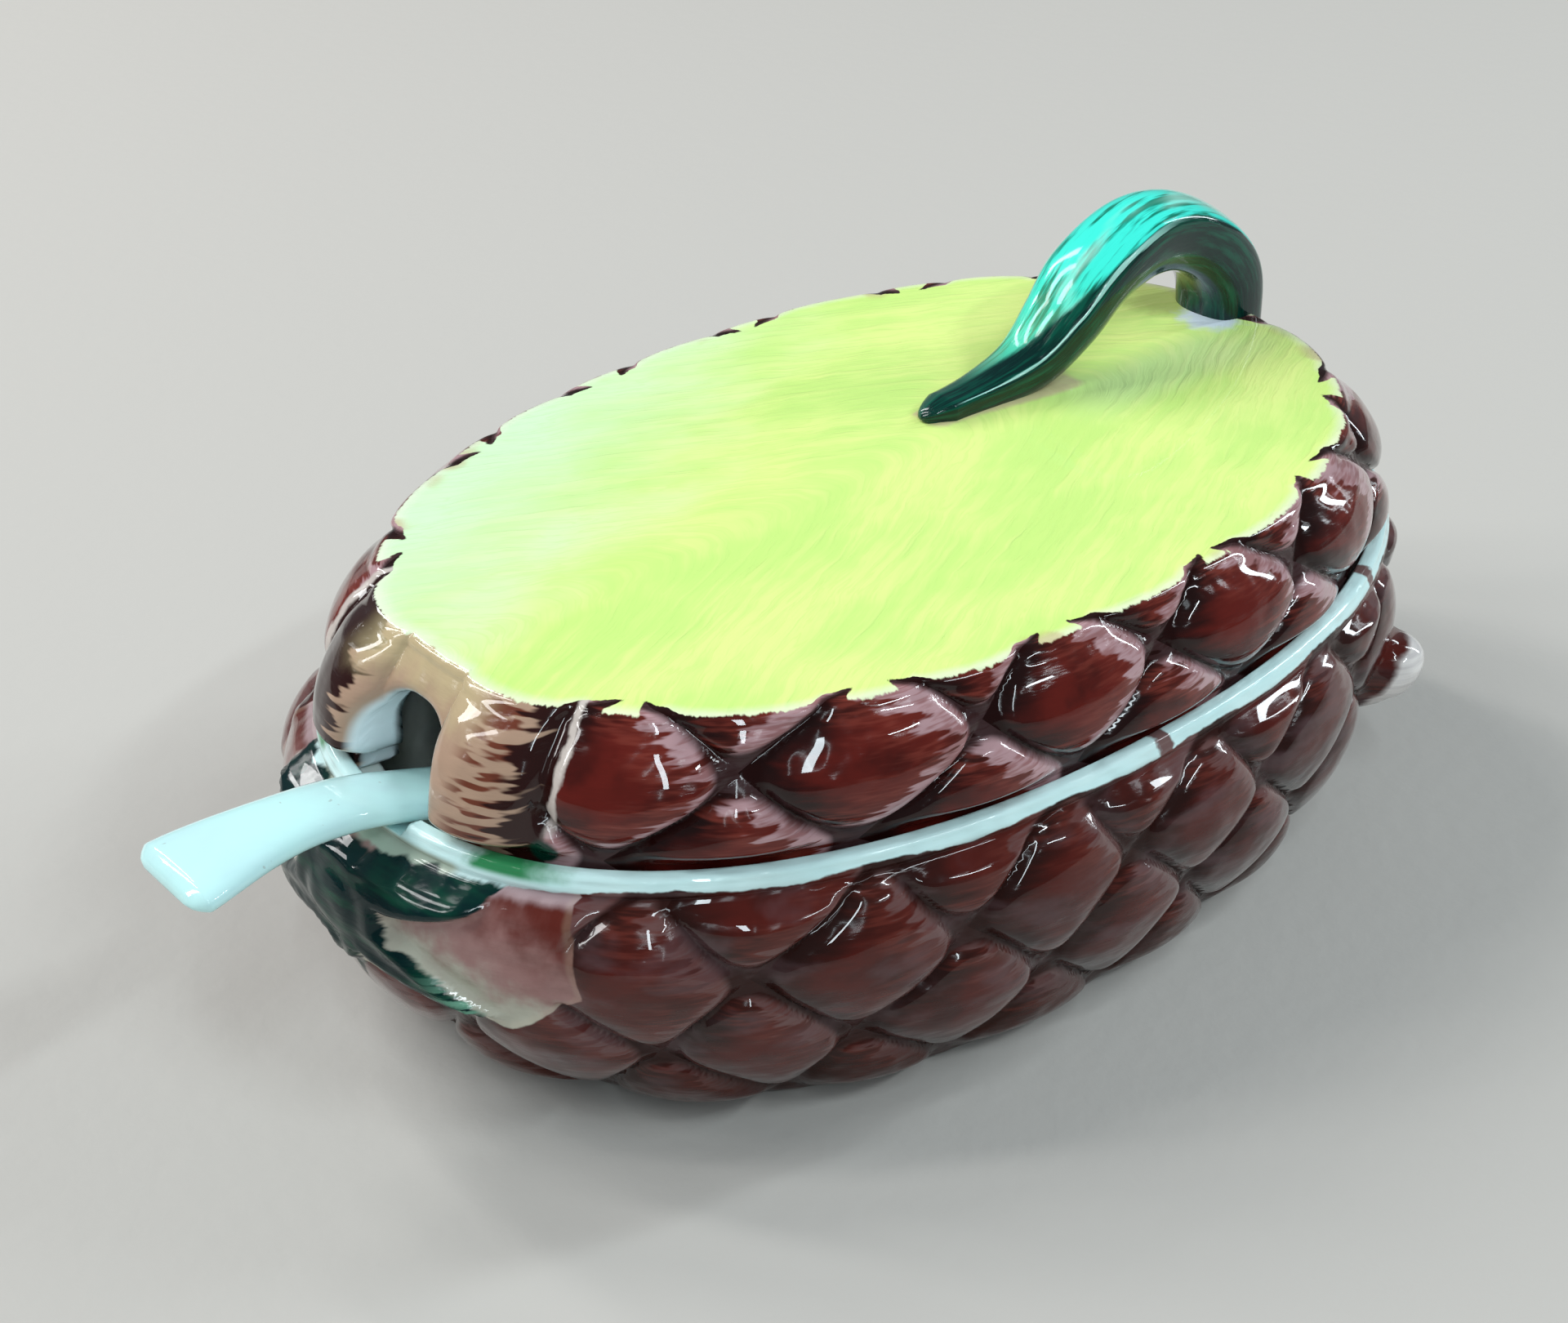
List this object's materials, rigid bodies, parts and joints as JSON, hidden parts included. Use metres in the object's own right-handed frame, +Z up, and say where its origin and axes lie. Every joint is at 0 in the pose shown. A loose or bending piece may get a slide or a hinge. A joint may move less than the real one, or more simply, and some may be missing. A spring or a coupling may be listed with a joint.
{
  "type": "lidded pineapple dish with spoon",
  "caption": "Glazed ceramic jam dish shaped as a halved pineapple, with a lid like a cut slice, a looped stem handle on it and a small spoon lying in a notch.",
  "frame": {"origin": "on the dish's flat underside, below the middle of its rim", "axes": "+X along the fruit from the spoon end to the stem end, +Z up"},
  "size_m": [0.1594, 0.0958, 0.0655],
  "materials": {
    "dish_glaze": "maroon brown scales under clear glaze, teal green leaves, white rim",
    "lid_glaze": "lime yellow slice with maroon brown scales round the side, clear glaze",
    "handle_glaze": "teal green brushed glaze, lighter mint along the outer face",
    "spoon_glaze": "plain white glaze"
  },
  "bodies": {
    "dish": {"dish": "dish_glaze"},
    "lid": {"lid": "lid_glaze", "lid_handle": "handle_glaze"},
    "spoon": {"spoon": "spoon_glaze"}
  },
  "joints": [
    {"name": "lid_lift", "type": "slide", "parent": "dish", "child": "lid", "axis": [0, 0, 1], "range_m": [0, 0.09]},
    {"name": "spoon_draw", "type": "slide", "parent": "dish", "child": "spoon", "axis": [-0.9397, 0, 0.342], "range_m": [0, 0.094]}
  ]
}
